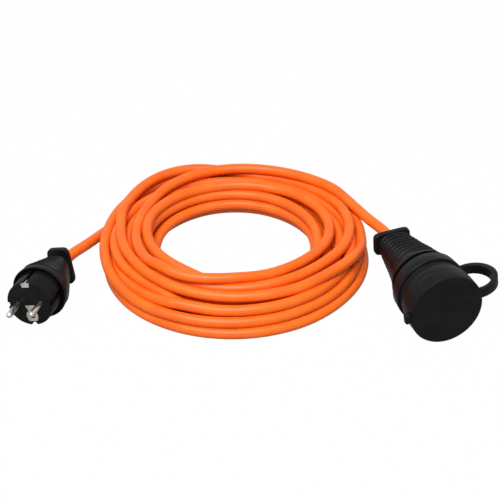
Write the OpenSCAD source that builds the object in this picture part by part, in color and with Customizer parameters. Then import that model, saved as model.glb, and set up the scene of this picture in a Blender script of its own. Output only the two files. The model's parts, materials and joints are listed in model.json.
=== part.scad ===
// Rubber extension cord: an earthed plug, nine metres of coiled cord and a coupler with a cap on a strap.
// The frame: +X runs from the plug to the coupler, the mating faces look towards -Y, the floor is z = 0.
// Each end is drawn in its own frame, with z along its axis and out of its face, then laid on the floor.

/* [Cord] */
// Outer diameter of the cord's jacket
cord_d = 9; // [8.4:0.1:9]
// Distance between the centres of neighbouring turns, and of neighbouring layers
turn_pitch = 9.45; // [9.45:0.05:9.8]
// Radius of the outermost turn, at the cord's centre
coil_r = 106; // [104:0.5:108]
// Whole turns in the coil, before the part turn that leads to the coupler
whole_turns = 16; // [15:1:18]
// Diameter of one insulated core
core_d = 2.9; // [2.6:0.1:3]

/* [Plug] */
// Radius of the plug's front, which enters the socket
plug_r = 18.6; // [18.4:0.1:18.9]
// Length of the plug from its face to its tail
plug_len = 68; // [66:1:74]
// Length of a pin in front of the face
pin_len = 19; // [18:0.5:20]
// Radius of a pin
pin_r = 2.4; // [2.35:0.05:2.4]
// Outer radius of the collar that covers the socket's rim
collar_r = 22.4; // [22:0.1:24]

/* [Coupler] */
// Outer radius of the cap and its skirt
cap_r = 29.6; // [29:0.1:30]
// Length of the coupler from the cap's face to its tail
coupler_len = 109; // [105:1:114]
// Radius of the well that takes a plug
well_r = 19.8; // [19.6:0.1:20]
// Depth of the well behind its rim
well_depth = 18; // [17.5:0.5:19]
// Width of the cap's strap
strap_w = 8.6; // [7:0.2:10]

/* [Pose] */
// Turn of the plug about the vertical
plug_yaw = -14.6; // [-20:0.1:-5]
// Roll of the plug about its own axis
plug_roll = 12; // [0:0.2:16]
// Turn of the coupler about the vertical
coupler_yaw = 18; // [10:0.1:22]
// Roll of the coupler about its own axis
coupler_roll = 4; // [0:0.5:16]

/* [Hidden] */
$fn = 64;
eps = 0.01;

rubber = "#26282a";
plastic = "#1c1d1f";
nickel = "#c9c6bd";
brass = "#c8a452";
copper = "#b9683c";
orange = "#f0641e";

cord_r = cord_d / 2;
core_r = core_d / 2;
pin_x = 9.5;              // half the distance between the two pins
earth_y = -10;            // height of the earth pin's hole on the face
strand_r = 0.9;           // bundle of copper strands in a core
barrel_r = 2;             // crimp barrel round the strands
metal = 0.8;              // thickness of the sheet metal contacts

// Plug, in its own frame: the face is z = 0
collar_z = -19;           // front edge of the collar
lip_z = collar_z - 1;     // where the collar is widest
insert_back = -27;        // rear face of the insert
collar_back = -28;        // where the sealing collar meets the ribbed body
plug_crimp_z = -34;       // rear end of the crimp barrels
slot_w = 2.4;             // slot along the top and the bottom of the insert
slot_floor = 13.4;        // distance of the slot's floor from the axis
tab_w = 7;                // earth contact at the insert's top edge
tab_len = 6;
groove_x = 15.6;          // floor of the guide groove on each side
groove_w = 5.2;
shank_r = 2.9;            // part of a pin inside the insert
sleeve_r = 3.4;           // outside of the tube that takes an earth pin
sleeve_bore = 2.45;
sleeve_len = 15.2;
plug_jacket = -49;        // where the jacket ends inside the plug
plug_flange = [8.8, 15.5]; // half width and half height of the tail flange

// Coupler, in its own frame: the cap's outer face is z = 0
disc_t = 3.5;             // thickness of the cap's disc
skirt_len = 12;           // from the cap's face to the end of its skirt
skirt_t = 2;
rim_z = -4;               // rim of the mouth, under the cap
mouth_r = 26.2;           // mouth collar that the skirt goes over
shoulder_z = -13;
shoulder_r = 28.6;
insert_r = 22.8;
floor_z = rim_z - well_depth;
floor_t = 3;
contact_r = 3.6;
contact_bore = 2.45;
coupler_back = -42;       // rear face of the coupler's insert
ring_z = [-44, -36];      // retaining ring of the strap
ring_r = 28.2;
ring_bed = 26.3;
grip_z = -48;             // front of the ribbed grip, behind the groove round the body's neck
neck_r = 23.6;
cap_turn = 4.5;           // how far the strap and the tab stand from the insert's pin line
coupler_jacket = -82;
coupler_flange = [15, 9.3];
strap_t = 3;
strap_mid = [33, -24.1];  // middle of the strap's loop, as x and z
strap_axes = [16.2, 16.4];
lug_x = 31.6;             // outer end of the cap's lug
tab_x = 33.2;             // outer end of the cap's pull tab
hinge_at = [47, -15];     // where the strap bends, as x and z

// How each end lies on the floor
flange_corner = 3;
function flange_drop(half, roll) =
  (half[0] - flange_corner) * abs(sin(roll)) + (half[1] - flange_corner) * cos(roll) + flange_corner;
plug_drop = flange_drop(plug_flange, plug_roll);
plug_tilt = atan((collar_r - plug_drop) / (plug_len + lip_z));
plug_face = [-172.4, -34.7, collar_r * cos(plug_tilt) - lip_z * sin(plug_tilt)];
coupler_tilt = atan((cap_r - ring_r) / (-skirt_len - ring_z[0]));
coupler_face = [148.7, -49.75, ring_r * cos(coupler_tilt) - ring_z[0] * sin(coupler_tilt)];
coil_centre = [-14.3, 63.4, cord_r];

function axis_of(yaw, tilt) = [sin(yaw) * cos(tilt), -cos(yaw) * cos(tilt), sin(tilt)];
plug_axis = axis_of(plug_yaw, plug_tilt);
coupler_axis = axis_of(coupler_yaw, coupler_tilt);

module at_plug() {
  translate(plug_face) rotate([90 - plug_tilt, 0, plug_yaw]) rotate([0, 0, plug_roll]) children();
}

module at_coupler() {
  translate(coupler_face) rotate([90 - coupler_tilt, 0, coupler_yaw])
    rotate([0, 0, coupler_roll]) children();
}

// ---- Solids swept through rings of points ----

// Skin through rings of n points each, which run anticlockwise about the way the rings advance
module loft(rings) {
  n = len(rings[0]);
  last = len(rings) - 1;
  sides = [
    for (i = [0 : last - 1], k = [0 : n - 1])
      let (a = i * n + k, b = i * n + (k + 1) % n)
      each [[a, a + n, b + n], [a, b + n, b]]
  ];
  ends = [for (k = [1 : n - 2]) each [[0, k, k + 1], [last * n, last * n + k + 1, last * n + k]]];
  polyhedron(points = [for (ring = rings) each ring], faces = concat(sides, ends));
}

function unit(v) = v / norm(v);
function heading(path, i) = unit(path[min(i + 1, len(path) - 1)] - path[max(i - 1, 0)]);

// One ring of a tube, with a corner straight below the centre
function tube_ring(at, along, r, sides) =
  let (side = unit(cross(along, [0, 0, 1])), up = cross(side, along))
  [for (k = [0 : sides - 1]) let (a = -90 - 360 * k / sides) at + r * (cos(a) * side + sin(a) * up)];

module tube(path, r, sides) {
  loft([for (i = [0 : len(path) - 1]) tube_ring(path[i], heading(path, i), r, sides)]);
}

// A core runs upright in an end's own frame, so its rings lie flat
module core_tube(path) {
  loft([for (p = path) [for (k = [0 : 7]) p + core_r * [cos(45 * k), sin(45 * k), 0]]]);
}

// Ring of a grip: round where n is 2, a rounded rectangle where n is larger
grip_sides = 28;
function signed_power(v, p) = sign(v) * pow(abs(v), p);
function grip_ring(z, half, n, top) = [
  for (k = [0 : grip_sides - 1])
    let (a = 360 * (k + 0.5) / grip_sides, x = signed_power(cos(a), 2 / n), y = signed_power(sin(a), 2 / n))
    [half[0] * x * (1 + top * y), half[1] * y, z]
];

// Ribbed grip. The tables give half sizes and squareness against z, from the tail to the front.
// rib_on says which of the two half sizes the ribs stand out of.
rib_h = 1;
function grip_rings(wide, high, square, top, ribs, rib_pitch, first_rib, rib_on) =
  let (
    size = function (z) [lookup(z, wide), lookup(z, high)],
    bump = [rib_on == 0 ? rib_h : 0, rib_on == 0 ? 0 : rib_h],
    rib_rings = [
      for (i = [0 : ribs - 1])
        let (z = first_rib + i * rib_pitch)
        each [
          [z, size(z)],
          [z + 0.22 * rib_pitch, size(z + 0.22 * rib_pitch) + bump],
          [z + 0.6 * rib_pitch, size(z + 0.6 * rib_pitch) + bump]
        ]
    ],
    after = first_rib + ribs * rib_pitch,
    plain = [for (row = wide) if (row[0] < first_rib - 0.8 || row[0] >= after) [row[0], size(row[0])]],
    tail = [for (s = plain) if (s[0] < first_rib) s],
    front = [for (s = plain) if (s[0] >= after) s]
  )
  [
    for (s = concat(tail, rib_rings, [[after, size(after)]], front))
      grip_ring(s[0], s[1], lookup(s[0], square), lookup(s[0], top))
  ];

module tail_flange(half, back, thick) {
  translate([0, 0, back])
    linear_extrude(thick)
      offset(r = flange_corner, $fn = 32)
        square(2 * (half - [flange_corner, flange_corner]), center = true);
}

// ---- Plug ----

plug_neck = 1 - plug_len; // the grip's ribs start just in front of the flange
plug_wide = [[-plug_len + 4, 7.8], [-50, 9.8], [-44, 11.4], [-38, 15], [-33, 18.6], [collar_back, 21.6]];
plug_high = [[-plug_len + 4, 13], [-50, 15.2], [-42, 16.9], [-38, 18.1], [-33, 19.7], [collar_back, 21]];
plug_square = [[-plug_len + 4, 5], [-45, 4], [-31, 2.2], [collar_back, 2]];

module plug_body() color(rubber) at_plug() difference() {
  union() {
    loft(grip_rings(plug_wide, plug_high, plug_square, [[0, 0], [1, 0]], 6, 4.6, plug_neck + 6.4, 1));
    tail_flange(plug_flange, -plug_len, 5);
  }
  translate([0, 0, collar_back - 1]) cylinder(r = 16, h = 2);
  translate([0, 0, plug_jacket]) cylinder(r1 = 8, r2 = 13.4, h = collar_back - 1 + eps - plug_jacket);
  translate([0, 0, -plug_len - 1]) cylinder(r = cord_r, h = plug_len + 1 + plug_jacket + eps);
}

// Soft lip round the insert, flared so that it closes over a socket's rim
module plug_collar() color(rubber) at_plug() rotate_extrude()
  polygon([
    [16, collar_back], [21.2, collar_back], [21.7, -25], [collar_r, lip_z], [collar_r - 0.4, collar_z],
    [collar_r - 1.4, collar_z], [20.5, -23], [plug_r, -23], [plug_r, insert_back], [16, insert_back]
  ]);

module plug_insert() color(plastic) at_plug() difference() {
  translate([0, 0, insert_back]) cylinder(r = plug_r, h = -insert_back);
  for (x = [-pin_x, pin_x]) translate([x, 0, insert_back - 1]) cylinder(r = shank_r, h = 2 - insert_back);
  translate([0, earth_y, -metal - sleeve_len]) cylinder(r = sleeve_r, h = sleeve_len + metal + 1);
  for (side = [0, 180]) rotate([0, 0, side]) {
    translate([-slot_w / 2, slot_floor, insert_back - 1]) cube([slot_w, plug_r, 2 - insert_back]);
    translate([groove_x, -groove_w / 2, collar_z - 1]) cube([plug_r, groove_w, 2 - collar_z]);
  }
  translate([-tab_w / 2, slot_floor, -metal]) cube([tab_w, plug_r, 2 * metal]);
  translate([-tab_w / 2, 17, -tab_len]) cube([tab_w, plug_r, tab_len + 1]);
  translate([0, 0, -metal]) linear_extrude(2 * metal) earth_plate_outline();
}

// Face plate of the earth contact: a tapered tongue and an eye round the hole
module earth_plate_outline() {
  polygon([[-4, -1.4], [4, -1.4], [2.8, -6.6], [-2.8, -6.6]]);
  translate([0, earth_y - 0.4]) circle(r = 5);
  translate([-slot_w / 2, -plug_r + 1.8]) square([slot_w, 4]);
}

module plug_pin(x) color(nickel) at_plug() translate([x, 0, 0]) rotate_extrude()
  polygon([
    [0, plug_crimp_z + 4], [strand_r, plug_crimp_z + 4], [strand_r, plug_crimp_z],
    [barrel_r, plug_crimp_z], [barrel_r, insert_back - 2], [sleeve_r, insert_back - 2],
    [sleeve_r, insert_back], [shank_r, insert_back], [shank_r, 0], [pin_r, 0],
    [pin_r, pin_len - pin_r], [0.78 * pin_r, pin_len - 0.9], [0.4 * pin_r, pin_len], [0, pin_len]
  ]);

module plug_pin_left() plug_pin(-pin_x);
module plug_pin_right() plug_pin(pin_x);

plug_earth_crimp = [0, 7];

module plug_earth_strip() color(nickel) at_plug() difference() {
  union() {
    translate([-tab_w / 2, slot_floor, -metal]) cube([tab_w, 17.8 - slot_floor, metal]);
    translate([-tab_w / 2, 17, -tab_len]) cube([tab_w, metal, tab_len]);
    for (y = [slot_floor, -slot_floor - 1])
      translate([-slot_w / 2, y, insert_back - metal]) cube([slot_w, 1, -insert_back + metal / 2]);
    translate([-slot_w / 2, -slot_floor - 1, insert_back - metal])
      cube([slot_w, 2 * slot_floor + 2, metal]);
    translate([0, 0, -metal]) linear_extrude(metal) earth_plate_outline();
    translate([plug_earth_crimp[0], plug_earth_crimp[1], plug_crimp_z])
      cylinder(r = barrel_r, h = 7 - metal / 2);
  }
  translate([0, earth_y, -2 * metal]) cylinder(r = sleeve_bore, h = 3 * metal);
  translate([plug_earth_crimp[0], plug_earth_crimp[1], plug_crimp_z - 1]) cylinder(r = strand_r, h = 5);
}

module plug_earth_sleeve() color(nickel) at_plug()
  translate([0, earth_y, -metal - sleeve_len]) difference() {
    cylinder(r = sleeve_r, h = sleeve_len);
    translate([0, 0, -1]) cylinder(r = sleeve_bore, h = sleeve_len + 2);
  }

// Where the three cores sit in the jacket, and how each runs from there to its crimp
function core_seat(i) = 1.8 * [cos(120 * i + 90), sin(120 * i + 90), 0];
function core_path(i, jacket, crimp, crimp_z) =
  let (seat = core_seat(i))
  [
    for (t = [0, 0.15, 0.4, 0.6, 0.85, 1])
      let (
        s = t * t * (3 - 2 * t),
        x = seat[0] + (crimp[0] - seat[0]) * s,
        y = seat[1] + (crimp[1] - seat[1]) * s
      )
      [x, y, jacket + (crimp_z - jacket) * t]
  ];
plug_crimps = [plug_earth_crimp, [-pin_x, 0], [pin_x, 0]];

module plug_core(i) at_plug() core_tube(core_path(i, plug_jacket, plug_crimps[i], plug_crimp_z));
module plug_core_green() color("yellowgreen") plug_core(0);
module plug_core_brown() color("saddlebrown") plug_core(1);
module plug_core_blue() color("steelblue") plug_core(2);

module strand_bundle(at, h) {
  translate(at) linear_extrude(h) circle(r = strand_r, $fn = 12);
}

module plug_strands() color(copper) at_plug()
  for (c = plug_crimps) strand_bundle([c[0], c[1], plug_crimp_z], 4);

module plug_jacket_end() color(orange) at_plug()
  translate([0, 0, -plug_len]) cylinder(r = cord_r, h = plug_len + plug_jacket);

// ---- Coupler ----

coupler_wide = [
  [-coupler_len + 4, 12.2], [-90, 14.6], [-76, 16.8], [-68, 19], [-62, 22], [-55, 25], [grip_z, 26.8]
];
coupler_high = [
  [-coupler_len + 4, 7.8], [-90, 10.6], [-76, 14.2], [-68, 17.6], [-62, 21.3], [-55, 24.7], [grip_z, 26.8]
];
coupler_square = [[-coupler_len + 4, 5], [-85, 4], [-66, 2.5], [-58, 2]];
// How much broader the ribbed top of the grip is than its middle
coupler_top = [[-coupler_len + 4, 0.05], [-92, 0.06], [-74, 0.2], [-66, 0.13], [-58, 0]];

module coupler_grip() color(rubber) at_coupler() difference() {
  union() {
    loft(grip_rings(coupler_wide, coupler_high, coupler_square, coupler_top, 8, 5.4, 6.6 - coupler_len, 1));
    tail_flange(coupler_flange, -coupler_len, 5);
  }
  translate([0, 0, coupler_jacket]) cylinder(r1 = 7, r2 = 14, h = grip_z + 1 - coupler_jacket);
  translate([0, 0, -coupler_len - 1]) cylinder(r = cord_r, h = coupler_len + 1 + coupler_jacket + eps);
}

module coupler_body() color(rubber) at_coupler() rotate_extrude()
  polygon([
    [14, grip_z], [neck_r, grip_z], [neck_r, grip_z + 2.8], [27, grip_z + 2.8], [27, ring_z[0]],
    [ring_bed, ring_z[0]], [ring_bed, ring_z[1]], [27.2, -34.4], [shoulder_r, -33.2],
    [shoulder_r, shoulder_z], [mouth_r, shoulder_z], [mouth_r, rim_z - 0.6], [mouth_r - 0.6, rim_z],
    [insert_r, rim_z], [insert_r, coupler_back], [18, coupler_back]
  ]);

spring_y = 17.6;          // inner side of the earth springs in the well
key_x = 17.2;             // inner side of the guide keys in the well
spring_slot = [6.8, 20.4]; // width of the earth springs' slots, and their depth from the axis
coupler_earth_crimp = [0, 9];

// Front of the insert: the wall of the well, with a guide key on each side
module coupler_well() color(plastic) at_coupler() {
  difference() {
    translate([0, 0, floor_z]) cylinder(r = insert_r, h = well_depth);
    difference() {
      translate([0, 0, floor_z - 1]) cylinder(r = well_r, h = well_depth + 2);
      for (side = [0, 180])
        rotate([0, 0, side]) translate([key_x, -2.3, floor_z - 2]) cube([5, 4.6, well_depth - 1]);
    }
    for (y = [spring_y - 0.6, -spring_slot[1]])
      translate([-spring_slot[0] / 2, y, floor_z - 1])
        cube([spring_slot[0], spring_slot[1] - spring_y + 0.6, -8 - floor_z + 1]);
  }
}

// Rear of the insert, in two halves: the well's floor, and behind it a chamber for one contact. Between the
// halves is the slot of the earth contact.
module coupler_carrier(side) color(plastic) at_coupler() difference() {
  translate([0, 0, coupler_back]) cylinder(r = insert_r, h = floor_z - coupler_back);
  translate([side > 0 ? -insert_r - 1 : 0, -insert_r - 1, coupler_back - 1])
    cube([insert_r + 1, 2 * insert_r + 2, floor_z - coupler_back + 2]);
  translate([side * pin_x, 0, floor_z - floor_t - eps])
    cylinder(r1 = 2.6, r2 = 3.1, h = floor_t + 2 * eps); // tapered entry for a pin
  translate([side * pin_x, 0, coupler_back - 1])
    cylinder(r = contact_r, h = 1 + floor_z - floor_t - coupler_back);
  translate([-spring_slot[0] / 2, -spring_slot[1], coupler_back - 1])
    cube([spring_slot[0], 2 * spring_slot[1], 1 + floor_z - floor_t - coupler_back]);
  for (y = [spring_y - 0.6, -spring_slot[1]])
    translate([-spring_slot[0] / 2, y, coupler_back])
      cube([spring_slot[0], 21 - spring_y, 1 - coupler_back]);
}

module coupler_carrier_left() coupler_carrier(-1);
module coupler_carrier_right() coupler_carrier(1);

contact_back = -39;

module coupler_contact(x) color(brass) at_coupler() translate([x, 0, 0]) difference() {
  union() {
    translate([0, 0, contact_back]) cylinder(r = contact_r, h = floor_z - floor_t - contact_back);
    translate([0, 0, contact_back - 9]) cylinder(r = barrel_r, h = 9);
  }
  translate([0, 0, contact_back + 1]) cylinder(r = contact_bore, h = floor_z - floor_t - contact_back);
  translate([0, 0, contact_back - 10]) cylinder(r = strand_r, h = 8);
}

module coupler_contact_left() coupler_contact(-pin_x);
module coupler_contact_right() coupler_contact(pin_x);

clip_z = floor_z - floor_t - 1; // front of the bridge behind the well's floor

module coupler_earth_clip() color(nickel) at_coupler() difference() {
  union() {
    for (side = [0, 180]) rotate([0, 0, side])
      translate([-3, 0, 0]) rotate([90, 0, 90]) linear_extrude(6)
        polygon([
          [spring_y + metal, clip_z - metal], [spring_y + metal, -16], [spring_y + 0.4, -12.5],
          [spring_y + 1.4, -9], [spring_y + 1.4 - metal, -9], [spring_y - 0.5, -12.5],
          [spring_y, -16], [spring_y, clip_z - metal]
        ]);
    translate([-3, -spring_y - metal, clip_z - metal]) cube([6, 2 * (spring_y + metal), metal]);
    translate([0, coupler_earth_crimp[1], clip_z - 9]) cylinder(r = barrel_r, h = 9 - metal / 2);
  }
  translate([0, coupler_earth_crimp[1], clip_z - 10]) cylinder(r = strand_r, h = 8);
}

coupler_crimps = [coupler_earth_crimp, [-pin_x, 0], [pin_x, 0]];
coupler_crimp_z = [clip_z - 9, contact_back - 9, contact_back - 9];

module coupler_core(i) at_coupler()
  core_tube(core_path(i, coupler_jacket, coupler_crimps[i], coupler_crimp_z[i]));
module coupler_core_green() color("yellowgreen") coupler_core(0);
module coupler_core_brown() color("saddlebrown") coupler_core(1);
module coupler_core_blue() color("steelblue") coupler_core(2);

module coupler_strands() color(copper) at_coupler()
  for (i = [0 : 2]) strand_bundle([coupler_crimps[i][0], coupler_crimps[i][1], coupler_crimp_z[i]], 7);

module coupler_jacket_end() color(orange) at_coupler()
  translate([0, 0, -coupler_len]) cylinder(r = cord_r, h = coupler_len + coupler_jacket);

// ---- Cap, strap and ring: one rubber moulding on the real cord ----

root_x = 30.5;            // outer face of the ring's lug
root_z = strap_mid[1] - strap_axes[1];

module cap_ring() color(rubber) at_coupler() rotate([0, 0, cap_turn]) {
  difference() {
    translate([0, 0, ring_z[0]]) cylinder(r = ring_r, h = ring_z[1] - ring_z[0]);
    translate([0, 0, ring_z[0] - 1]) cylinder(r = ring_bed + 0.1, h = ring_z[1] - ring_z[0] + 2);
  }
  translate([ring_r - 0.6, -strap_w / 2, root_z - strap_t / 2])
    cube([root_x - ring_r + 0.6, strap_w, strap_t]);
}

strap_steps = 24;

// The strap's loop seen from its side: a straight root, an oval bend and a straight end at the cap
function strap_line(grow) = concat(
  [[root_x, root_z - grow]],
  [
    for (i = [0 : strap_steps])
      let (a = -90 + 180 * i / strap_steps)
      strap_mid + [(strap_axes[0] + grow) * cos(a), (strap_axes[1] + grow) * sin(a)]
  ],
  [[lug_x + 0.3, strap_mid[1] + strap_axes[1] + grow]]
);

module cap_strap() color(rubber) at_coupler() rotate([0, 0, cap_turn])
  translate([0, strap_w / 2, 0]) rotate([90, 0, 0]) linear_extrude(strap_w)
    polygon(concat(
      strap_line(strap_t / 2),
      [for (i = [strap_steps + 2 : -1 : 0]) strap_line(-strap_t / 2)[i]]
    ));

module cap() color(rubber) at_coupler() rotate([0, 0, cap_turn]) {
  rotate_extrude()
    polygon([
      [0, -6], [18.3, -6], [18.3, -disc_t], [cap_r - skirt_t, -disc_t], [cap_r - skirt_t, -skirt_len],
      [cap_r, -skirt_len], [cap_r, -1.2], [cap_r - 1.2, 0], [0, 0]
    ]);
  lug_z = strap_mid[1] + strap_axes[1];
  translate([cap_r - 1, -strap_w / 2, lug_z - strap_t / 2]) cube([lug_x - cap_r + 1, strap_w, strap_t]);
  translate([-tab_x, -4, -7.4]) cube([tab_x - cap_r + 1, 8, 4.6]);
}

// ---- Cord ----

start_angle = 30;         // where the plug's lead joins the coil, clockwise from -X
end_angle = 145;          // where the coupler's lead leaves it
layers = 4;
rings_per_turn = 24;
turns = whole_turns + (end_angle - start_angle) / 360;
layer_turns = turns / layers;

// Turns spiral in and out again at a steady rate, and climb a layer in the half turn where they reverse
function zigzag(u) = let (m = u % (2 * layer_turns)) m < layer_turns ? m : 2 * layer_turns - m;
function climbed(u) =
  [for (k = [1 : layers - 1]) min(1, max(0, 2 * (u - k * layer_turns) + 0.5))] * [1, 1, 1];
function coil_point(u) =
  let (a = start_angle + 360 * u, r = coil_r - turn_pitch * zigzag(u))
  coil_centre + [-r * cos(a), r * sin(a), turn_pitch * climbed(u)];
function coil_heading(angle) = [sin(angle), cos(angle), 0];

coil_steps = ceil(turns * rings_per_turn);
wound = [for (i = [0 : coil_steps]) coil_point(turns * i / coil_steps)];
coil_start = wound[0] - cord_d * coil_heading(start_angle);
coil_end = wound[coil_steps] + cord_d * coil_heading(end_angle);
coil_path = concat([coil_start], wound, [coil_end]);

coil_gap = min([
  for (i = [0 : coil_steps], k = [1 : ceil(turns)], d = [-2 : 2])
    let (j = i + k * rings_per_turn + d)
    if (j <= coil_steps) norm(wound[i] - wound[j])
]) - cord_d;
echo(str("least gap of the coil to itself, mm: ", coil_gap));

plug_tail = plug_face - plug_len * plug_axis;
coupler_tail = coupler_face - coupler_len * coupler_axis;
plug_route = [[-149, 51, 10], [-140.7, 66, 6.5], [-129, 82.5, 4.8], [-119, 96.5, 4.5]];
coupler_route = [[88, 102.5, 32], [97.8, 87.5, 29.5], [106.3, 74, 26.6]];
plug_lead = concat([plug_tail, plug_tail - cord_d * plug_axis], plug_route, [coil_start]);
coupler_lead = concat([coil_end], coupler_route, [coupler_tail - cord_d * coupler_axis, coupler_tail]);

function path_length(path) =
  [for (i = [1 : len(path) - 1]) norm(path[i] - path[i - 1])] * [for (i = [1 : len(path) - 1]) 1];
echo(str("length of the coil, mm: ", path_length(coil_path)));

// Free leads end in a short straight run, so that they meet the plug, the coil and the coupler squarely
module lead(path, end_heading) {
  last = len(path) - 1;
  loft([
    for (i = [0 : last])
      let (along = i == 0 ? end_heading[0] : i == last ? end_heading[1] : heading(path, i))
      tube_ring(path[i], along, cord_r, 10)
  ]);
}

module cord_plug_lead() color(orange) lead(plug_lead, [-plug_axis, coil_heading(start_angle)]);
module cord_coil() color(orange) tube(coil_path, cord_r, 6);
module cord_coupler_lead() color(orange) lead(coupler_lead, [coil_heading(end_angle), coupler_axis]);

plug_body();
plug_collar();
plug_insert();
plug_pin_left();
plug_pin_right();
plug_earth_strip();
plug_earth_sleeve();
plug_core_brown();
plug_core_blue();
plug_core_green();
plug_strands();
plug_jacket_end();
coupler_body();
coupler_grip();
coupler_well();
coupler_carrier_left();
coupler_carrier_right();
coupler_contact_left();
coupler_contact_right();
coupler_earth_clip();
coupler_core_brown();
coupler_core_blue();
coupler_core_green();
coupler_strands();
coupler_jacket_end();
cap_ring();
cap_strap();
cap();
cord_plug_lead();
cord_coil();
cord_coupler_lead();
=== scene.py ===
import json
import math

import bmesh
import bpy
import numpy as np
from mathutils import Matrix, Vector


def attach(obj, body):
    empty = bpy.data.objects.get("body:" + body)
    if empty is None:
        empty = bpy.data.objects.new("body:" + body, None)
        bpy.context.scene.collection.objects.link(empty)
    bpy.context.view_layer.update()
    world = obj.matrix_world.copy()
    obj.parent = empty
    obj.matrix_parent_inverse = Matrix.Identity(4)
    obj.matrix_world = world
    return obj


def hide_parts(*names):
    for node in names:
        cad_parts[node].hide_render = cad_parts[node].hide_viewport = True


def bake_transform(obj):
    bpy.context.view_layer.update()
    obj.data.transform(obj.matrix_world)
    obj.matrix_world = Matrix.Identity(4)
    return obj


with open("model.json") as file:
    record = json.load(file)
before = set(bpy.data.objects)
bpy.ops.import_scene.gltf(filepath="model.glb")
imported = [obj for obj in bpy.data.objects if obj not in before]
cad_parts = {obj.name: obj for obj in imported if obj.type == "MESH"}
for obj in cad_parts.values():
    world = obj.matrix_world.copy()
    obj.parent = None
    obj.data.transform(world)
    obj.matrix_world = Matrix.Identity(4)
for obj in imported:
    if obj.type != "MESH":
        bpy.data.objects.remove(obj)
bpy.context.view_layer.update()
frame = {"nodes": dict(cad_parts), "record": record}
nodes = frame["nodes"]
print("frame loaded:", len(nodes), "nodes")

cameraSetup = {
    "elevation": 34.5,                        # degrees above the floor
    "distance": 1.05,
    "target": (-0.0017, 0.05186, 0.016),
    "lens": 90.65,
    "sensor": 36,
    "nearest": 0.01,                          # clipping starts here
}


def addCamera():
    lift = math.radians(cameraSetup["elevation"])
    data = bpy.data.cameras.new("studioCamera")
    data.sensor_width = cameraSetup["sensor"]
    data.lens = cameraSetup["lens"]
    data.clip_start = cameraSetup["nearest"]
    camera = bpy.data.objects.new("studioCamera", data)
    bpy.context.scene.collection.objects.link(camera)
    back = Vector((0, -math.cos(lift), math.sin(lift)))
    camera.location = Vector(cameraSetup["target"]) + cameraSetup["distance"] * back
    camera.rotation_euler = (math.pi / 2 - lift, 0, 0)
    bpy.context.scene.camera = camera


addCamera()

# the plug, the coupler and the cap each have a frame: its origin is in the face, and z runs out of it
mm = 0.001
plugPose = {"face": (-172.4, -34.7, 24.69625), "yaw": -14.6, "tilt": 7.08654, "roll": 12}
couplerPose = {"face": (148.7, -49.75, 30.09621), "yaw": 18, "tilt": 2.50509, "roll": 4}
capPose = {**couplerPose, "roll": 8.5}
plugTail, couplerTail = -68, -109             # z where the cord comes out


def poseMatrix(pose):
    place = Matrix.Translation(Vector(pose["face"]) * mm)
    yaw = Matrix.Rotation(math.radians(pose["yaw"]), 4, "Z")
    tilt = Matrix.Rotation(math.radians(90 - pose["tilt"]), 4, "X")
    return place @ yaw @ tilt @ Matrix.Rotation(math.radians(pose["roll"]), 4, "Z")


def posePoint(pose, point):
    return poseMatrix(pose) @ (Vector(point) * mm)


# the cord: one length, wound by hand, from the plug's tail to the coupler's
cordSetup = {
    "diameter": 9 * mm,
    "length": 9.2,
    "centre": (-14.3, 63.4),
    "turnStep": 5.0,                          # degrees between two points of a turn
    "straight": (0, 6, 13),                   # it leaves each tail straight, through these distances
    "guideStep": 7.5 * mm,
    "wobble": [(0.5, 1.37, 1.1), (0.4, 2.61, 0.4)],    # size, waves in a radian and start of each unevenness
    "contact": 8.7 * mm,                      # neighbouring turns press into each other a little
    "spread": 1.004,                          # contact distances that a push aims for
    "rounds": 260,
    "lookEvery": 12,                          # rounds between two looks for neighbours
    "lookWithin": 1.6,                        # contact distances
    "stiffness": 0.35,
    "sag": 0.00004,
    "pull": (0.12, 0.12, 0.06),               # how strongly the guide holds it, in x, y and z
    "sweeps": 3,
    "push": 1.3,
    "heldEnds": 4,                            # points at each end that stay where they are
    "sides": 20,
    "ringStep": 3.6 * mm,
    "skin": 0.05 * mm,
}

# radius and height of each turn as it passes the back, the right, the front and the left
windings = [
    ((107.5, 4.5), (108, 4.5), (108.6, 4.5), (105.5, 4.5)),
    ((98.7, 4.5), (99, 4.5), (99.5, 4.5), (92.6, 4.5)),
    ((89.8, 4.5), (90, 4.5), (90.5, 4.5), (83.8, 4.5)),
    ((81, 4.5), (81, 4.5), (81.5, 4.5), (75, 4.5)),
    ((72.2, 4.8), (72, 4.5), (72.4, 4.5), (67.6, 9.5)),
    ((66.5, 12.4), (68.3, 12), (68.8, 12), (76.2, 12.3)),
    ((75.2, 12), (77, 12), (77.5, 12), (84.9, 12)),
    ((84, 12), (85.8, 12), (86.3, 12), (93.5, 12)),
    ((92.8, 12), (94.6, 12), (95.2, 12), (100.5, 21)),
    ((91, 19.6), (97, 19.6), (100, 20), (101.3, 12.6)),
    ((101.6, 12), (103.3, 12), (105.6, 12.3), (108.6, 17)),
    ((109, 18), (105.6, 20.2), (90.3, 26.3), (95.3, 27)),
    ((101.5, 22.5), (95.8, 27.8), (77, 24.6), (90, 20)),
    ((81, 19.6), (88, 19.4), (84, 19.4), (75.5, 19.6)),
    ((70.8, 20), (69.5, 20.5), (70, 19.4), (73.8, 28)),
    ((74, 27), (79, 27.6), (73, 31.6), (82.3, 29)),
]
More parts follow.
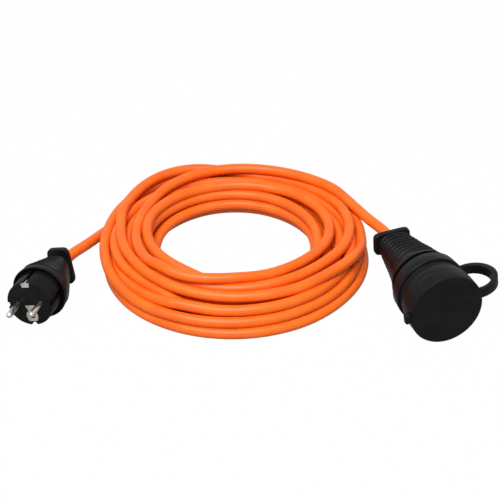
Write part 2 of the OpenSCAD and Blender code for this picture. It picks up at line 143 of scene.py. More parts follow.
# where a turn swings out between those places: turn, angle, radius, height
swings = [
    (0, 330, 108.4, 4.5), (1, 30, 101.7, 4.5), (7, 315, 88.8, 11.7), (8, 315, 93.8, 18.8),
    (8, 338, 98.8, 21), (9, 315, 101.5, 17), (9, 338, 103.3, 12.8), (10, 315, 109, 13.2),
    (11, 212, 98.8, 25.2), (11, 235, 92.8, 26.2), (11, 300, 90.3, 26.8), (11, 45, 113, 18.5),
    (12, 25, 103.5, 27.3), (12, 45, 111.5, 27.3), (12, 65, 114, 26.8), (12, 135, 97.5, 24),
    (12, 222, 82.8, 27), (14, 300, 64.8, 23.5), (14, 322, 69.5, 27.3), (15, 225, 71.2, 29.2),
    (15, 250, 70.8, 30), (15, 290, 78.6, 32), (15, 306, 83.3, 31.6), (15, 330, 83.6, 29.6),
    (16, 30, 82.8, 29.6), (16, 50, 88.5, 30.3), (16, 70, 93.5, 30.7), (16, 120, 100, 31),
]
lastTurn = 360 * len(windings)
# angle, radius and height where the winding starts, and twice where it ends
windingEnds = [(30, 110.5, 4.5), (90 + lastTurn, 97, 30.6), (143 + lastTurn, 103.4, 30.2)]
# on the way from the plug to the winding, and from the winding to the coupler
plugLead = [
    (-147.2, 53.4, 13.6), (-141.8, 63.6, 12.1), (-136.5, 74.2, 10.3), (-131.5, 84.8, 8.5), (-126.3, 95, 6.8),
    (-119.8, 106, 5.2),
]
couplerLead = [(80.6, 112, 29.3), (90.8, 96.4, 28), (100.4, 81.4, 26.3)]


def smoothThrough(x, xs, ys):
    # a smooth curve through ys at xs, read at x
    slopes = np.gradient(ys, xs, axis=0)
    i = np.clip(np.searchsorted(xs, x, side="right") - 1, 0, len(xs) - 2)
    h = xs[i + 1] - xs[i]
    t = (x - xs[i]) / h
    if ys.ndim > 1:
        h, t = h[:, None], t[:, None]
    a = (2 * t**3 - 3 * t**2 + 1) * ys[i] + (t**3 - 2 * t**2 + t) * h * slopes[i]
    return a + (-2 * t**3 + 3 * t**2) * ys[i + 1] + (t**3 - t**2) * h * slopes[i + 1]


def respace(points, step):
    # the same curve with points one step apart
    run = np.r_[0, np.cumsum(np.linalg.norm(np.diff(points, axis=0), axis=1))]
    count = int(round(run[-1] / step))
    return smoothThrough(np.linspace(0, run[-1], count + 1), run, points)


def woundRoute():
    knots = list(windingEnds)
    for turn, places in enumerate(windings):
        knots += [(90 * (k + 1) + 360 * turn, r, z) for k, (r, z) in enumerate(places)]
    knots += [(angle + 360 * turn, r, z) for turn, angle, r, z in swings]
    knots = np.array(sorted(knots))
    angle = np.arange(knots[0, 0], knots[-1, 0] + 0.1, cordSetup["turnStep"])
    blur = np.array([1, 2, 3, 4, 3, 2, 1]) / 16                         # evens out the corners at the knots
    radius, height = (smoothThrough(angle, knots[:, 0], knots[:, k]) for k in (1, 2))
    radius, height = (
        np.convolve(np.pad(row, 3, mode="edge"), blur, "valid") * mm for row in (radius, height)
    )
    turn = np.radians(angle)
    radius += sum(size * mm * np.sin(waves * turn + start) for size, waves, start in cordSetup["wobble"])
    cx, cy = (c * mm for c in cordSetup["centre"])
    coil = np.stack([cx - radius * np.cos(turn), cy + radius * np.sin(turn), height], 1)
    start = [posePoint(plugPose, (0, 0, plugTail - d)) for d in cordSetup["straight"]]
    end = [posePoint(couplerPose, (0, 0, couplerTail - d)) for d in reversed(cordSetup["straight"])]
    lead = [Vector(p) * mm for p in plugLead]
    tail = [Vector(p) * mm for p in couplerLead]
    route = np.concatenate([np.array(start), np.array(lead), coil, np.array(tail), np.array(end)])
    return respace(route, cordSetup["guideStep"])


def settle(route):
    # turns push each other apart, stiffness smooths them, and the guide keeps each near its place
    gap, floor, held = cordSetup["contact"], cordSetup["diameter"] / 2, cordSetup["heldEnds"]
    point, count = route.copy(), len(route)
    step = np.linalg.norm(np.diff(route, axis=0), axis=1).mean()
    skip = int(math.ceil(3 * gap / step))     # points nearer along the cord than this are never neighbours
    pull = np.array(cordSetup["pull"])
    for k in range(cordSetup["rounds"]):
        if k % cordSetup["lookEvery"] == 0:
            apart = ((point[:, None, :] - point[None, :, :]) ** 2).sum(2)
            one, two = np.nonzero(np.triu(apart < (cordSetup["lookWithin"] * gap) ** 2, skip))
        smooth = point.copy()
        smooth[2:-2] = (4 * (point[1:-3] + point[3:-1]) - (point[:-4] + point[4:])) / 6
        point += cordSetup["stiffness"] * (smooth - point)
        point[:, 2] -= cordSetup["sag"]
        point += pull * (route - point)
        for _ in range(cordSetup["sweeps"]):
            between = point[two] - point[one]
            length = np.linalg.norm(between, axis=1)
            short = np.clip(cordSetup["spread"] * gap - length, 0, None)
            if not short.any():
                break
            move = (0.5 * short / np.maximum(length, 1e-6))[:, None] * between
            total, met = np.zeros_like(point), np.zeros(count)
            np.add.at(total, one, -move)
            np.add.at(total, two, move)
            np.add.at(met, one, short > 0)
            np.add.at(met, two, short > 0)
            point += cordSetup["push"] * total / np.maximum(met, 1)[:, None]
            point[:, 2] = np.maximum(point[:, 2], floor)
        point[:held], point[-held:] = route[:held], route[-held:]
        point[:, 2] = np.maximum(point[:, 2], floor)
    return point


def tubeMesh(name, path, radius, sides):
    # rings of points across the path, joined by four-sided faces, with flat ends
    along = np.gradient(path, axis=0)
    along /= np.linalg.norm(along, axis=1)[:, None]
    side = np.cross(along, [0, 0, 1.0])
    side /= np.linalg.norm(side, axis=1)[:, None]
    up = np.cross(side, along)
    turn = np.arange(sides) * 2 * math.pi / sides
    ring = np.cos(turn)[None, :, None] * side[:, None, :] + np.sin(turn)[None, :, None] * up[:, None, :]
    verts = (path[:, None, :] + radius * ring).reshape(-1, 3)
    count = len(path)
    a = (np.arange(count - 1)[:, None] * sides + np.arange(sides)[None, :]).ravel()
    b = (np.arange(count - 1)[:, None] * sides + (np.arange(sides)[None, :] + 1) % sides).ravel()
    faces = np.stack([a, b, b + sides, a + sides], 1).tolist()
    faces.append(list(range(sides))[::-1])
    faces.append([(count - 1) * sides + k for k in range(sides)])
    mesh = bpy.data.meshes.new(name)
    mesh.from_pydata(verts.tolist(), [], faces)
    run = np.r_[0, np.cumsum(np.linalg.norm(np.diff(path, axis=0), axis=1))]
    layer = mesh.uv_layers.new(name="alongCord")
    corner = np.zeros(len(mesh.loops), int)
    mesh.loops.foreach_get("vertex_index", corner)
    u, v = run[corner // sides], (corner % sides) / sides
    quad = np.arange(len(corner)) < 4 * len(a)
    last = quad & (corner % sides == 0) & np.isin(np.arange(len(corner)) % 4, (1, 2))
    layer.data.foreach_set("uv", np.stack([u, np.where(last, 1.0, v)], 1).ravel())
    piece = bpy.data.objects.new(name, mesh)
    bpy.context.scene.collection.objects.link(piece)
    mesh.polygons.foreach_set("use_smooth", [True] * len(mesh.polygons))
    cleaned = bmesh.new()
    cleaned.from_mesh(mesh)
    bmesh.ops.recalc_face_normals(cleaned, faces=cleaned.faces)
    cleaned.to_mesh(mesh)
    cleaned.free()
    return piece


cordPath = respace(settle(woundRoute()), cordSetup["ringStep"])
cord = tubeMesh("cord", cordPath, cordSetup["diameter"] / 2 - cordSetup["skin"], cordSetup["sides"])
cordLength = float(np.linalg.norm(np.diff(cordPath, axis=0), axis=1).sum())
print("cord wound:", round(cordLength, 3), "m")
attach(cord, "cord_set")
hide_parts("cord_plug_lead", "cord_coil", "cord_coupler_lead")


def valueGroup(name, outputs, inputs):
    group = bpy.data.node_groups.new(name, "ShaderNodeTree")
    for label, kind in outputs:
        group.interface.new_socket(name=label, in_out="OUTPUT", socket_type=kind)
    for label, kind, value in inputs:
        socket = group.interface.new_socket(name=label, in_out="INPUT", socket_type=kind)
        socket.default_value = value
    return group, group.nodes.new("NodeGroupInput"), group.nodes.new("NodeGroupOutput")


def mouldedGrain():
    # fine pebbled skin of moulded rubber, with a slower unevenness under it
    group, given, out = valueGroup(
        "mouldedGrain", [("Height", "NodeSocketFloat"), ("Patches", "NodeSocketFloat")],
        [("Grain Scale", "NodeSocketFloat", 1800), ("Patch Scale", "NodeSocketFloat", 60)],
    )
    link, add = group.links.new, group.nodes.new
    place = add("ShaderNodeTexCoord")
    fine, slow, both = add("ShaderNodeTexNoise"), add("ShaderNodeTexNoise"), add("ShaderNodeMath")
    both.operation = "MULTIPLY_ADD"
    both.inputs[1].default_value = 0.35       # how much the slow noise counts beside the fine one
    fine.inputs["Detail"].default_value = 3
    slow.inputs["Detail"].default_value = 4
    for noise, scale in ((fine, "Grain Scale"), (slow, "Patch Scale")):
        link(place.outputs["Object"], noise.inputs["Vector"])
        link(given.outputs[scale], noise.inputs["Scale"])
    link(slow.outputs["Fac"], both.inputs[0])
    link(fine.outputs["Fac"], both.inputs[2])
    link(both.outputs[0], out.inputs["Height"])
    link(slow.outputs["Fac"], out.inputs["Patches"])
    return group


def twoTone():
    # dark where the mask is low and light where it is high
    group, given, out = valueGroup(
        "twoTone", [("Color", "NodeSocketColor")],
        [
            ("Mask", "NodeSocketFloat", 0.5), ("Low", "NodeSocketFloat", 0.35),
            ("High", "NodeSocketFloat", 0.65), ("Dark", "NodeSocketColor", (0, 0, 0, 1)),
            ("Light", "NodeSocketColor", (1, 1, 1, 1)),
        ],
    )
    link, add = group.links.new, group.nodes.new
    span, mix = add("ShaderNodeMapRange"), add("ShaderNodeMix")
    mix.data_type = "RGBA"
    link(given.outputs["Mask"], span.inputs["Value"])
    link(given.outputs["Low"], span.inputs["From Min"])
    link(given.outputs["High"], span.inputs["From Max"])
    link(span.outputs["Result"], mix.inputs[0])
    link(given.outputs["Dark"], mix.inputs[6])
    link(given.outputs["Light"], mix.inputs[7])
    link(mix.outputs[2], out.inputs["Color"])
    return group


grainGroup, toneGroup = mouldedGrain(), twoTone()


def finish(name, look):
    # one moulded, extruded or plated finish: two close tones, uneven roughness and a grain
    material = bpy.data.materials.new(name)
    material.use_nodes = True
    tree = material.node_tree
    shader = tree.nodes["Principled BSDF"]
    link, add = tree.links.new, tree.nodes.new
    grain, tone = add("ShaderNodeGroup"), add("ShaderNodeGroup")
    grain.node_tree, tone.node_tree = grainGroup, toneGroup
    grain.inputs["Grain Scale"].default_value = look["grainScale"]
    grain.inputs["Patch Scale"].default_value = look["patchScale"]
    tone.inputs["Dark"].default_value = (*look["dark"], 1)
    tone.inputs["Light"].default_value = (*look["light"], 1)
    link(grain.outputs["Patches"], tone.inputs["Mask"])
    link(tone.outputs["Color"], shader.inputs["Base Color"])
    rough = add("ShaderNodeMapRange")
    span = {
        "From Min": 0.3, "From Max": 0.7,
        "To Min": look["roughness"] - look["uneven"], "To Max": look["roughness"] + look["uneven"],
    }
    for end, value in span.items():
        rough.inputs[end].default_value = value
    link(grain.outputs["Patches"], rough.inputs["Value"])
    link(rough.outputs["Result"], shader.inputs["Roughness"])
    bump = add("ShaderNodeBump")
    bump.inputs["Distance"].default_value = look["depth"]
    bump.inputs["Strength"].default_value = 0.5
    link(grain.outputs["Height"], bump.inputs["Height"])
    link(bump.outputs["Normal"], shader.inputs["Normal"])
    shader.inputs["Metallic"].default_value = look.get("metal", 0)
    shader.inputs["Specular IOR Level"].default_value = look.get("specular", 0.5)
    material.diffuse_color = (*look["light"], 1)
    return material


coreSkin = {"roughness": 0.42, "uneven": 0.05, "grainScale": 1200, "patchScale": 120, "depth": 0.00003}
looks = {
    "rubber_black": {
        "dark": (0.0036, 0.0036, 0.0038), "light": (0.006, 0.006, 0.0062), "roughness": 0.4, "uneven": 0.06,
        "grainScale": 2600, "patchScale": 70, "depth": 0.00006, "specular": 0.1,
    },
    "plastic_black": {
        "dark": (0.003, 0.0031, 0.0033), "light": (0.0052, 0.0054, 0.0056), "roughness": 0.38, "uneven": 0.05,
        "grainScale": 2200, "patchScale": 90, "depth": 0.00004, "specular": 0.09,
    },
    "nickel": {
        "dark": (0.5, 0.48, 0.44), "light": (0.68, 0.66, 0.61), "roughness": 0.26, "uneven": 0.06,
        "grainScale": 900, "patchScale": 180, "depth": 0.00001, "metal": 1,
    },
    "brass": {
        "dark": (0.55, 0.38, 0.14), "light": (0.72, 0.55, 0.25), "roughness": 0.32, "uneven": 0.08,
        "grainScale": 900, "patchScale": 160, "depth": 0.00002, "metal": 1,
    },
    "copper": {
        "dark": (0.5, 0.2, 0.1), "light": (0.72, 0.35, 0.2), "roughness": 0.38, "uneven": 0.08,
        "grainScale": 1500, "patchScale": 300, "depth": 0.00005, "metal": 1,
    },
    "core_brown": {"dark": (0.11, 0.04, 0.016), "light": (0.16, 0.06, 0.024), **coreSkin},
    "core_blue": {"dark": (0.025, 0.11, 0.36), "light": (0.04, 0.16, 0.5), **coreSkin},
    "core_green": {"dark": (0.26, 0.42, 0.03), "light": (0.35, 0.55, 0.05), **coreSkin},
    "jacket_orange": {
        "dark": (0.72, 0.104, 0.008), "light": (0.8, 0.13, 0.011), "roughness": 0.36, "uneven": 0.05,
        "grainScale": 1400, "patchScale": 45, "depth": 0.00006, "specular": 0.22,
    },
}
finishes = {slot: finish(slot, look) for slot, look in looks.items()}


def dress(piece, slot):
    piece.data.materials.clear()
    piece.data.materials.append(finishes[slot])


dress(cord, "jacket_orange")
for entry in frame["record"]["subparts"]:
    node = nodes[entry["node"]]
    node.data.materials.clear()
    node.data.materials.append(finishes[entry["material_slot"]])
print("finishes made:", len(finishes))

doubles = 0.01 * mm                           # points closer than this are one
roundSteps, ovalSteps = 128, 96               # faces round a turned piece and round a soft oval
# edges flatter than this many degrees shade smooth
smoothUnder = {"grip": 42, "turned": 35, "hard": 30, "strap": 40}


def deselectAll():
    if bpy.context.object and bpy.context.object.mode == "EDIT":
        bpy.ops.object.mode_set(mode="OBJECT")
    bpy.ops.object.select_all(action="DESELECT")


def pickOnly(piece):
    deselectAll()
    piece.select_set(True)
    bpy.context.view_layer.objects.active = piece


def startLine(name, first):
    # a single point to draw a profile from
    deselectAll()
    bpy.ops.mesh.primitive_plane_add(size=mm, location=(0, 0, 0))
    piece = bpy.context.object
    piece.name = piece.data.name = name
    bpy.ops.object.mode_set(mode="EDIT")
    bpy.ops.mesh.merge(type="CENTER")
    bpy.ops.transform.translate(value=Vector(first) * mm)
    return piece


def extendLine(x, y, z):
    # one more point of the line, this far from the last
    bpy.ops.mesh.extrude_vertices_move(TRANSFORM_OT_translate={"value": (x * mm, y * mm, z * mm)})


def fillAndThicken(x, y, z):
    # the closed line becomes a face, and the face a solid this far deep
    bpy.ops.mesh.edge_face_add()
    bpy.ops.mesh.extrude_region_move(TRANSFORM_OT_translate={"value": (x * mm, y * mm, z * mm)})
    closeEditing()


def closeEditing():
    bpy.ops.mesh.select_all(action="SELECT")
    bpy.ops.mesh.normals_make_consistent(inside=False)
    bpy.ops.object.mode_set(mode="OBJECT")


def turnedPiece(name, profile, steps=roundSteps):
    # a profile of radius and height, drawn point by point and spun about the axis
    piece = startLine(name, (profile[0][0], 0, profile[0][1]))
    for (r0, z0), (r1, z1) in zip(profile, profile[1:]):
        extendLine(r1 - r0, 0, z1 - z0)
    bpy.ops.mesh.select_all(action="SELECT")
    bpy.ops.mesh.spin(steps=steps, angle=2 * math.pi, center=(0, 0, 0), axis=(0, 0, 1))
    bpy.ops.mesh.select_all(action="SELECT")
    bpy.ops.mesh.remove_doubles(threshold=2 * doubles)
    closeEditing()
    return piece


def applyModifiers(piece):
    pickOnly(piece)
    for modifier in list(piece.modifiers):
        bpy.ops.object.modifier_apply(modifier=modifier.name)


def softenEdges(piece, width, segments=3, angle=30):
    bevel = piece.modifiers.new("edgeRounding", "BEVEL")
    bevel.width = width * mm
    bevel.segments = segments
    bevel.limit_method = "ANGLE"
    bevel.angle_limit = math.radians(angle)
    applyModifiers(piece)


def putInPlace(piece, pose, smoothAngle):
    pickOnly(piece)
    piece.matrix_world = poseMatrix(pose) @ piece.matrix_world
    bpy.ops.object.transform_apply(location=True, rotation=True, scale=True)
    bpy.ops.object.shade_smooth_by_angle(angle=math.radians(smoothAngle))


def joinPieces(main, others):
    deselectAll()
    for other in others:
        other.select_set(True)
    main.select_set(True)
    bpy.context.view_layer.objects.active = main
    bpy.ops.object.join()
    return main


def lookup(table, z):
    # the size that a table of z and size gives at z
    xs = [row[0] for row in table]
    return float(np.interp(z, xs, [row[1] for row in table]))


def softOval(a, b, fullness, steps=ovalSteps):
    # an oval of two half sizes: fullness 2 is an ellipse, and more makes it squarer
    power = 2 / fullness
    outline = []
    for i in range(steps):
        turn = 2 * math.pi * (i + 0.5) / steps
        x, y = math.cos(turn), math.sin(turn)
        outline.append((math.copysign(a * abs(x) ** power, x), math.copysign(b * abs(y) ** power, y)))
    return outline


def drawnOutline(name, outline, z):
    # a closed outline of x and y, drawn point by point
    piece = startLine(name, (*outline[0], z))
    for (x0, y0), (x1, y1) in zip(outline, outline[1:] + outline[:1]):
        extendLine(x1 - x0, y1 - y0, 0)
    bpy.ops.mesh.select_all(action="SELECT")
    bpy.ops.mesh.remove_doubles(threshold=doubles)
    return piece


def drawnPlate(name, outline, back, thick):
    piece = drawnOutline(name, outline, back)
    fillAndThicken(0, 0, thick)
    return piece


def gripPiece(name, grip):
    # rings from the squarish tail to the round front, each extruded, rounded off and then sized
    sections = gripSections(grip)
    z = sections[0][0]
    drawn = 10                                # half the first ring's size as drawn, before it becomes 1
    piece = drawnOutline(name, softOval(drawn, drawn, grip["fullness"]), z)
    sizeRing((1 / drawn, 1 / drawn), z)
    bpy.ops.mesh.select_all(action="SELECT")
    roundness, last = 0, None
    for z, wide, high, square in sections:
        if last is not None:
            bpy.ops.mesh.extrude_edges_move(TRANSFORM_OT_translate={"value": (0, 0, (z - last[0]) * mm)})
            sizeRing((1 / last[1], 1 / last[2]), z)
        wanted = max(roundness, 1 - square)
        if wanted > roundness:
            share = 1 if wanted >= 1 else (wanted - roundness) / (1 - roundness)
            bpy.ops.transform.tosphere(value=share)
            roundness = wanted
            edit = bmesh.from_edit_mesh(piece.data)
            reach = max(abs(v.co.x) for v in edit.verts if v.select) / mm
            sizeRing((1 / reach, 1 / reach), z)
        sizeRing((wide, high), z)
        last = (z, wide, high)
    bpy.ops.mesh.edge_face_add()
    bpy.ops.mesh.select_all(action="DESELECT")
    edit = bmesh.from_edit_mesh(piece.data)
    for e in edit.edges:
        e.select = e.is_boundary
    bmesh.update_edit_mesh(piece.data)
    bpy.ops.mesh.edge_face_add()
    closeEditing()
    return piece


def sizeRing(scale, z):
    # the picked ring grows or shrinks about the axis
    bpy.ops.transform.resize(value=(scale[0], scale[1], 1), center_override=(0, 0, z * mm))


def gripSection(grip, z, swell=0):
    # z, half width, half height and squareness
    return z, lookup(grip["wide"], z), lookup(grip["high"], z) + swell, lookup(grip["square"], z)


def gripSections(grip):
    # each rib rises steeply from a wide gap to a round crest, and the ribs fade where the grip widens
    pitch, first, ribs, height = grip["pitch"], grip["first"], grip["ribs"], grip["ribHeight"]
    after = first + ribs * pitch
    middle, dip = 0.45, 0.2                   # share of a rib under the skin, and after the last rib
    fade, clear = 3, 0.5                      # ribs that fade, and the least gap between two sections
    out = [gripSection(grip, z) for z, _ in grip["wide"] if z < first - clear]
    for i in range(ribs):
        share = min(1, (ribs - i + 1) / fade)
        for t, rise in grip["ribShape"]:
            out.append(gripSection(grip, first + (i + t) * pitch, height * (rise - middle) * share))
    out.append(gripSection(grip, after, -dip * height))
    return out + [gripSection(grip, z) for z, _ in grip["wide"] if z > after + clear]


def flangePiece(name, flange):
    # the plate at a tail, with softly bulging sides and round corners
    piece = drawnPlate(name, softOval(*flange["half"], flange["fullness"]), flange["back"], flange["thick"])
    softenEdges(piece, flange["edge"], 4, 50)
    return piece


def cutAway(piece, cutters):
    # the cutters are joined, taken out of the piece and removed
    tool = joinPieces(cutters[0], cutters[1:])
    cut = piece.modifiers.new("cutAway", "BOOLEAN")
    cut.object, cut.operation, cut.solver = tool, "DIFFERENCE", "EXACT"
    applyModifiers(piece)
    bpy.data.objects.remove(tool)


def blockPiece(name, low, high, edge=0):
    deselectAll()
    bpy.ops.mesh.primitive_cube_add(size=1, location=(Vector(low) + Vector(high)) / 2 * mm)
    piece = bpy.context.object
    piece.name = piece.data.name = name
    piece.scale = (Vector(high) - Vector(low)) * mm
    bpy.ops.object.transform_apply(location=True, scale=True)
    if edge:
        softenEdges(piece, edge, 3, 50)
    return piece


def roundBar(name, radius, low, high, place=(0, 0), steps=48):
    deselectAll()
    bpy.ops.mesh.primitive_cylinder_add(
        vertices=steps, radius=radius * mm, depth=(high - low) * mm,
        location=(place[0] * mm, place[1] * mm, (low + high) / 2 * mm),
    )
    piece = bpy.context.object
    piece.name = piece.data.name = name
    bpy.ops.object.transform_apply(location=True)
    return piece


# the plug: a ribbed rubber boot with a flared collar, and a hard insert with its metal
plugBoot = {
    "wide": [
        (-64.5, 8), (-57, 10), (-50, 12.3), (-44, 14.6), (-38, 17.2), (-33, 19.3), (-28, 20.8), (-24, 21.6),
    ],
    "high": [
        (-64.5, 10.4), (-57, 11.3), (-50, 13), (-42, 15.2), (-36, 17.2), (-32, 18.7), (-28, 19.7),
        (-24, 20.4),
    ],
    "square": [(-64.5, 1), (-45, 0.9), (-33, 0.4), (-26, 0)], "fullness": 3.8,
    "ribs": 7, "pitch": 5.2, "first": -60.4, "ribHeight": 3.4,
    "ribShape": (
        (0, 0), (0.3, 0), (0.38, 0.35), (0.47, 0.69), (0.56, 0.91), (0.65, 1), (0.76, 0.88), (0.88, 0.51),
    ),
}
plugFlange = {"half": (9.4, 15.9), "thick": 5, "back": plugTail, "fullness": 5.5, "edge": 0.9}
boot = gripPiece("plugBoot", plugBoot)
joinPieces(boot, [flangePiece("plugTail", plugFlange)])
putInPlace(boot, plugPose, smoothUnder["grip"])
dress(boot, "rubber_black")
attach(boot, "cord_set")
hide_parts("plug_body")

plugLip = [                                   # radius and z, from the boot round the rim to the insert
    (16, -28), (18.9, -28), (19.6, -25.4), (21.8, -24.4), (22.15, -22.5), (22.4, -20), (22.1, -19.2),
    (21.5, -19.05), (21, -19.4), (20.6, -23), (18.65, -23.4), (18.65, -27), (16, -27), (16, -28),
]
lip = turnedPiece("plugCollar", plugLip)
putInPlace(lip, plugPose, smoothUnder["turned"])
dress(lip, "rubber_black")
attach(lip, "cord_set")
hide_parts("plug_collar")

plugFace = {
    "insert": [(0, -27), (18.6, -27), (18.6, -0.9), (18.3, -0.3), (17.6, 0), (0, 0)],
    "cut": (-28, 1),                          # the slots run between these
    "slot": (-1.7, 13.4, 1.7, 20),            # left, low, right and high side
    "notch": [(-1.1, -15.6), (1.1, -15.6), (3.6, -19.6), (-3.6, -19.6)],
    "groove": (16.4, 20, 2.2),                # from and to this far from the middle, and half its width
    "pinPlace": 9.5,
    "pinCollar": [(2.42, -0.3), (4.1, -0.3), (3.9, 0.3), (3.6, 0.4), (2.42, 0.4), (2.42, -0.3)],
    "collarSteps": 48,
    "earthPlace": (0, -10),
    "earthHole": (3.4, -16.2, 1),             # radius, and from and to
}
back, front = plugFace["cut"]
left, low, right, high = plugFace["slot"]
inner, outer, side = plugFace["groove"]
insert = turnedPiece("plugInsert", plugFace["insert"])
cutAway(insert, [
    blockPiece("slotCut", (left, low, back), (right, high, front)),
    drawnPlate("notchCut", plugFace["notch"], back, front - back),
    blockPiece("rightCut", (inner, -side, back), (outer, side, front)),
    blockPiece("leftCut", (-outer, -side, back), (-inner, side, front)),
    roundBar("earthCut", *plugFace["earthHole"], plugFace["earthPlace"]),
])
collars = []
for place in (-plugFace["pinPlace"], plugFace["pinPlace"]):
    collar = turnedPiece("pinCollar", plugFace["pinCollar"], plugFace["collarSteps"])
    collar.location.x = place * mm
    pickOnly(collar)
    bpy.ops.object.transform_apply(location=True)
    collars.append(collar)
joinPieces(insert, collars)
putInPlace(insert, plugPose, smoothUnder["hard"])
dress(insert, "plastic_black")
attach(insert, "cord_set")
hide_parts("plug_insert")

plugMetal = {                                 # the earth plate, the clip at the top and its blade in the slot
    "back": -0.6,
    "plate": [
        (-4, -1.2), (4, -1.2), (2.1, -6), (4.3, -7.6), (4.9, -10.4), (4.4, -12.6), (3.4, -14.8),
        (-3.4, -14.8), (-4.4, -12.6), (-4.9, -10.4), (-4.3, -7.6), (-2.1, -6),
    ],
    "plateThick": 0.72,
    "hole": (2.5, -2, 2),                     # radius, and from and to
    "clip": [(-2.3, 14.5), (3.7, 14.5), (4.2, 17.7), (1.9, 18.2), (-0.5, 18.3), (-2.9, 17.9)],
    "clipThick": 0.85,
    "blade": ((0.1, 16.4, -5.5), (0.8, 18.3, -0.2)), "bladeEdge": 0.1,
}
plate = drawnPlate("earthPlate", plugMetal["plate"], plugMetal["back"], plugMetal["plateThick"])
cutAway(plate, [roundBar("plateCut", *plugMetal["hole"], plugFace["earthPlace"])])
clip = drawnPlate("earthClip", plugMetal["clip"], plugMetal["back"], plugMetal["clipThick"])
blade = blockPiece("earthBlade", *plugMetal["blade"], plugMetal["bladeEdge"])
joinPieces(plate, [clip, blade])
putInPlace(plate, plugPose, smoothUnder["hard"])
dress(plate, "nickel")
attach(plate, "cord_set")
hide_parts("plug_earth_strip")
print("plug made")

# the coupler: a ribbed grip and the shell round its well
couplerGrip = {
    "wide": [
        (-105.5, 12.8), (-90, 15.2), (-76, 17.3), (-68, 18.8), (-62, 20.2), (-56, 22), (-51, 23.8), (-48, 25),
        (-46.6, 25.2),
    ],
    "high": [
        (-105.5, 8.4), (-90, 11.8), (-76, 15.4), (-68, 17.9), (-62, 20), (-56, 22), (-51, 23.9), (-48, 25.2),
        (-46.6, 25.4),
    ],
    "square": [(-105.5, 1), (-85, 0.9), (-66, 0.6), (-55, 0.2), (-50, 0)], "fullness": 3.1,
    "ribs": 9, "pitch": 5.7, "first": -104, "ribHeight": 2.7,
    "ribShape": (
        (0, 0), (0.36, 0), (0.42, 0.4), (0.48, 0.75), (0.56, 0.95), (0.66, 1), (0.78, 0.92), (0.9, 0.55),
    ),
}
couplerFlange = {"half": (15.8, 10), "thick": 5, "back": couplerTail, "fullness": 6, "edge": 1}
grip = gripPiece("couplerGrip", couplerGrip)
joinPieces(grip, [flangePiece("couplerTail", couplerFlange)])
putInPlace(grip, couplerPose, smoothUnder["grip"])
dress(grip, "rubber_black")
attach(grip, "cord_set")
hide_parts("coupler_grip")

couplerShell = [                              # the seat of the strap's ring, the shoulder and the mouth
    (22.8, -42), (18, -42), (14, -48), (22, -48), (22, -40.8), (26, -40.6), (26, -28.6), (27.2, -28.2),
    (27, -26), (27.1, -24), (27.6, -22.2), (28.3, -20.9), (28.8, -19.4), (29, -17.6), (29, -13.2),
    (28.5, -12.7), (26.5, -12.7), (26.2, -12.4), (26.2, -4.6), (25.6, -4), (23.2, -4), (22.8, -4.4),
    (22.8, -42),
]
shell = turnedPiece("couplerShell", couplerShell)
putInPlace(shell, couplerPose, smoothUnder["turned"])
dress(shell, "rubber_black")
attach(shell, "cord_set")
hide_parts("coupler_body")
print("coupler made")

# the cap, its strap and the strap's ring
strapLoop = {
    "middle": (33, -24.1), "axes": (16.2, 16.4),
    "inner": (14.7, 14.9), "outer": (19.9, 18.1),
    "wide": 8.6, "root": 30.5, "end": 31.9,
    "rootSink": 0.3, "endSink": 0.5,          # how deep its ends reach into the ring and the cap's lug
    "edge": 0.5, "steps": 48,
}
halfStrap = strapLoop["wide"] / 2
lugZ = strapLoop["middle"][1] + strapLoop["axes"][1]
rootZ = strapLoop["middle"][1] - strapLoop["axes"][1]

capShape = [                                  # the seal inside, the skirt and the rounded rim of the disc
    (0, -6), (17.8, -6), (18.3, -5.6), (18.3, -3.5), (27.6, -3.5), (27.6, -11.7), (27.9, -12), (29.3, -12),
    (29.6, -11.7), (29.6, -1.2), (29.25, -0.45), (28.5, -0.05), (27.8, 0), (0, 0),
]
capDetail = {
    "lug": (28.7, 31.6), "lugThick": 3, "lugEdge": 0.35,
    "tab": ((-33.8, -2.6, -6.6), (-28.7, 6, -1.4)), "tabEdge": 1.2,
}
near, far = capDetail["lug"]
lugBack, lugFront = lugZ - capDetail["lugThick"] / 2, lugZ + capDetail["lugThick"] / 2
cap = turnedPiece("capDisc", capShape)
lug = blockPiece("capLug", (near, -halfStrap, lugBack), (far, halfStrap, lugFront), capDetail["lugEdge"])
tab = blockPiece("capTab", *capDetail["tab"], capDetail["tabEdge"])
joinPieces(cap, [lug, tab])
putInPlace(cap, capPose, smoothUnder["turned"])
dress(cap, "rubber_black")
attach(cap, "cap")
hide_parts("cap")

strapRing = [
    (25.8, -40.4), (27.2, -40.4), (27.8, -40.1), (28.2, -39.4), (28.7, -34), (29, -29.8), (28.9, -28.9),
    (28.3, -28.3), (25.8, -28.2), (25.8, -40.4),
]
strapFoot = {"inside": 26.2, "back": 1.6, "front": 1.5, "edge": 0.35}
ring = turnedPiece("strapRing", strapRing)
foot = blockPiece(
    "strapFoot", (strapFoot["inside"], -halfStrap, rootZ - strapFoot["back"]),
    (strapLoop["root"], halfStrap, rootZ + strapFoot["front"]), strapFoot["edge"],
)
joinPieces(ring, [foot])
putInPlace(ring, capPose, smoothUnder["turned"])
dress(ring, "rubber_black")
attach(ring, "cord_set")
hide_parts("cap_ring")


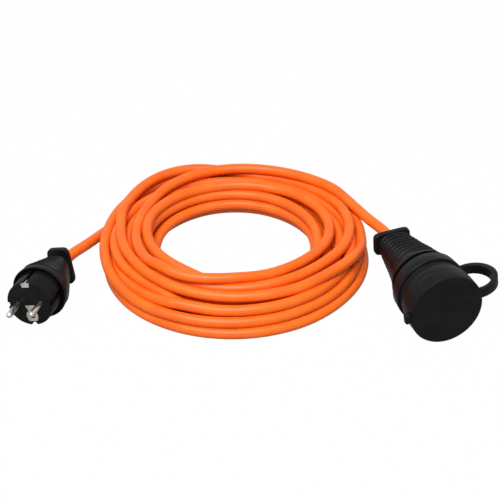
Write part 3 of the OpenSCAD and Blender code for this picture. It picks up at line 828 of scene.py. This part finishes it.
def strapPiece():
    # the band's side outline, round the oval of the loop and back along its inside, then its width
    (mx, mz), (ix, iz), (ox, oz) = strapLoop["middle"], strapLoop["inner"], strapLoop["outer"]
    turns = [math.radians(-90 + 180 * i / strapLoop["steps"]) for i in range(strapLoop["steps"] + 1)]
    outer = [(mx + ox * math.cos(a), mz + oz * math.sin(a)) for a in turns]
    inner = [(mx + ix * math.cos(a), mz + iz * math.sin(a)) for a in reversed(turns)]
    root, end = strapLoop["root"] - strapLoop["rootSink"], strapLoop["end"] - strapLoop["endSink"]
    outline = [(root, mz - oz)] + outer + [(end, mz + oz), (end, mz + iz)] + inner + [(root, mz - iz)]
    piece = startLine("strapLoop", (outline[0][0], -halfStrap, outline[0][1]))
    for (x0, z0), (x1, z1) in zip(outline, outline[1:] + outline[:1]):
        extendLine(x1 - x0, 0, z1 - z0)
    bpy.ops.mesh.select_all(action="SELECT")
    bpy.ops.mesh.remove_doubles(threshold=doubles)
    fillAndThicken(0, strapLoop["wide"], 0)
    return piece


strap = strapPiece()
softenEdges(strap, strapLoop["edge"], 3, 50)
putInPlace(strap, capPose, smoothUnder["strap"])
dress(strap, "rubber_black")
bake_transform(strap)
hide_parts("cap_strap")
print("cap made")

# floor, sky and lamp: white to the camera, plain to the object
studio = {
    "floorSize": 7, "floorWhite": 0.34, "floorRough": 0.9, "floorShine": 0.1, "floorGlow": 0.99,
    "skyStrength": 0.46,
    "keyPower": 30, "keySize": 1.0, "keyPlace": (-0.2, -0.62, 1.22), "keyAim": (0, 0.05, 0),
}


def addFloor():
    deselectAll()
    bpy.ops.mesh.primitive_plane_add(size=studio["floorSize"], location=(0, 0, 0))
    floor = bpy.context.object
    floor.name = "paleFloor"
    material = bpy.data.materials.new("paleFloor")
    material.use_nodes = True
    tree = material.node_tree
    link, add = tree.links.new, tree.nodes.new
    shader = tree.nodes["Principled BSDF"]
    shader.inputs["Base Color"].default_value = (*[studio["floorWhite"]] * 3, 1)
    shader.inputs["Roughness"].default_value = studio["floorRough"]
    shader.inputs["Specular IOR Level"].default_value = studio["floorShine"]
    light, share = add("ShaderNodeLightPath"), add("ShaderNodeMath")
    glow, mix = add("ShaderNodeEmission"), add("ShaderNodeMixShader")
    share.operation = "MULTIPLY"
    share.inputs[1].default_value = studio["floorGlow"]
    link(light.outputs["Is Camera Ray"], share.inputs[0])
    link(share.outputs[0], mix.inputs[0])
    link(shader.outputs[0], mix.inputs[1])
    link(glow.outputs[0], mix.inputs[2])
    link(mix.outputs[0], tree.nodes["Material Output"].inputs["Surface"])
    floor.data.materials.append(material)


def addSky():
    world = bpy.data.worlds.new("studio")
    bpy.context.scene.world = world
    world.use_nodes = True
    tree = world.node_tree
    link, add = tree.links.new, tree.nodes.new
    background = tree.nodes["Background"]
    background.inputs["Color"].default_value = (1, 1, 1, 1)
    light, strength = add("ShaderNodeLightPath"), add("ShaderNodeMapRange")
    seen = light.outputs["Is Camera Ray"]
    for ray in ("Is Glossy Ray", "Is Transmission Ray"):
        either = add("ShaderNodeMath")
        either.operation = "MAXIMUM"
        link(seen, either.inputs[0])
        link(light.outputs[ray], either.inputs[1])
        seen = either.outputs[0]
    strength.inputs["To Min"].default_value = studio["skyStrength"]
    strength.inputs["To Max"].default_value = 1
    link(seen, strength.inputs["Value"])
    link(strength.outputs["Result"], background.inputs["Strength"])


def addLamp(name, power, size, place, aim):
    data = bpy.data.lights.new(name, "AREA")
    data.energy, data.size = power, size
    lamp = bpy.data.objects.new(name, data)
    bpy.context.scene.collection.objects.link(lamp)
    lamp.location = place
    lamp.rotation_euler = (Vector(aim) - Vector(place)).to_track_quat("-Z", "Y").to_euler()


addFloor()
addSky()
addLamp("softKey", studio["keyPower"], studio["keySize"], studio["keyPlace"], studio["keyAim"])
bpy.context.scene.view_settings.view_transform = "Standard"
print("studio set")
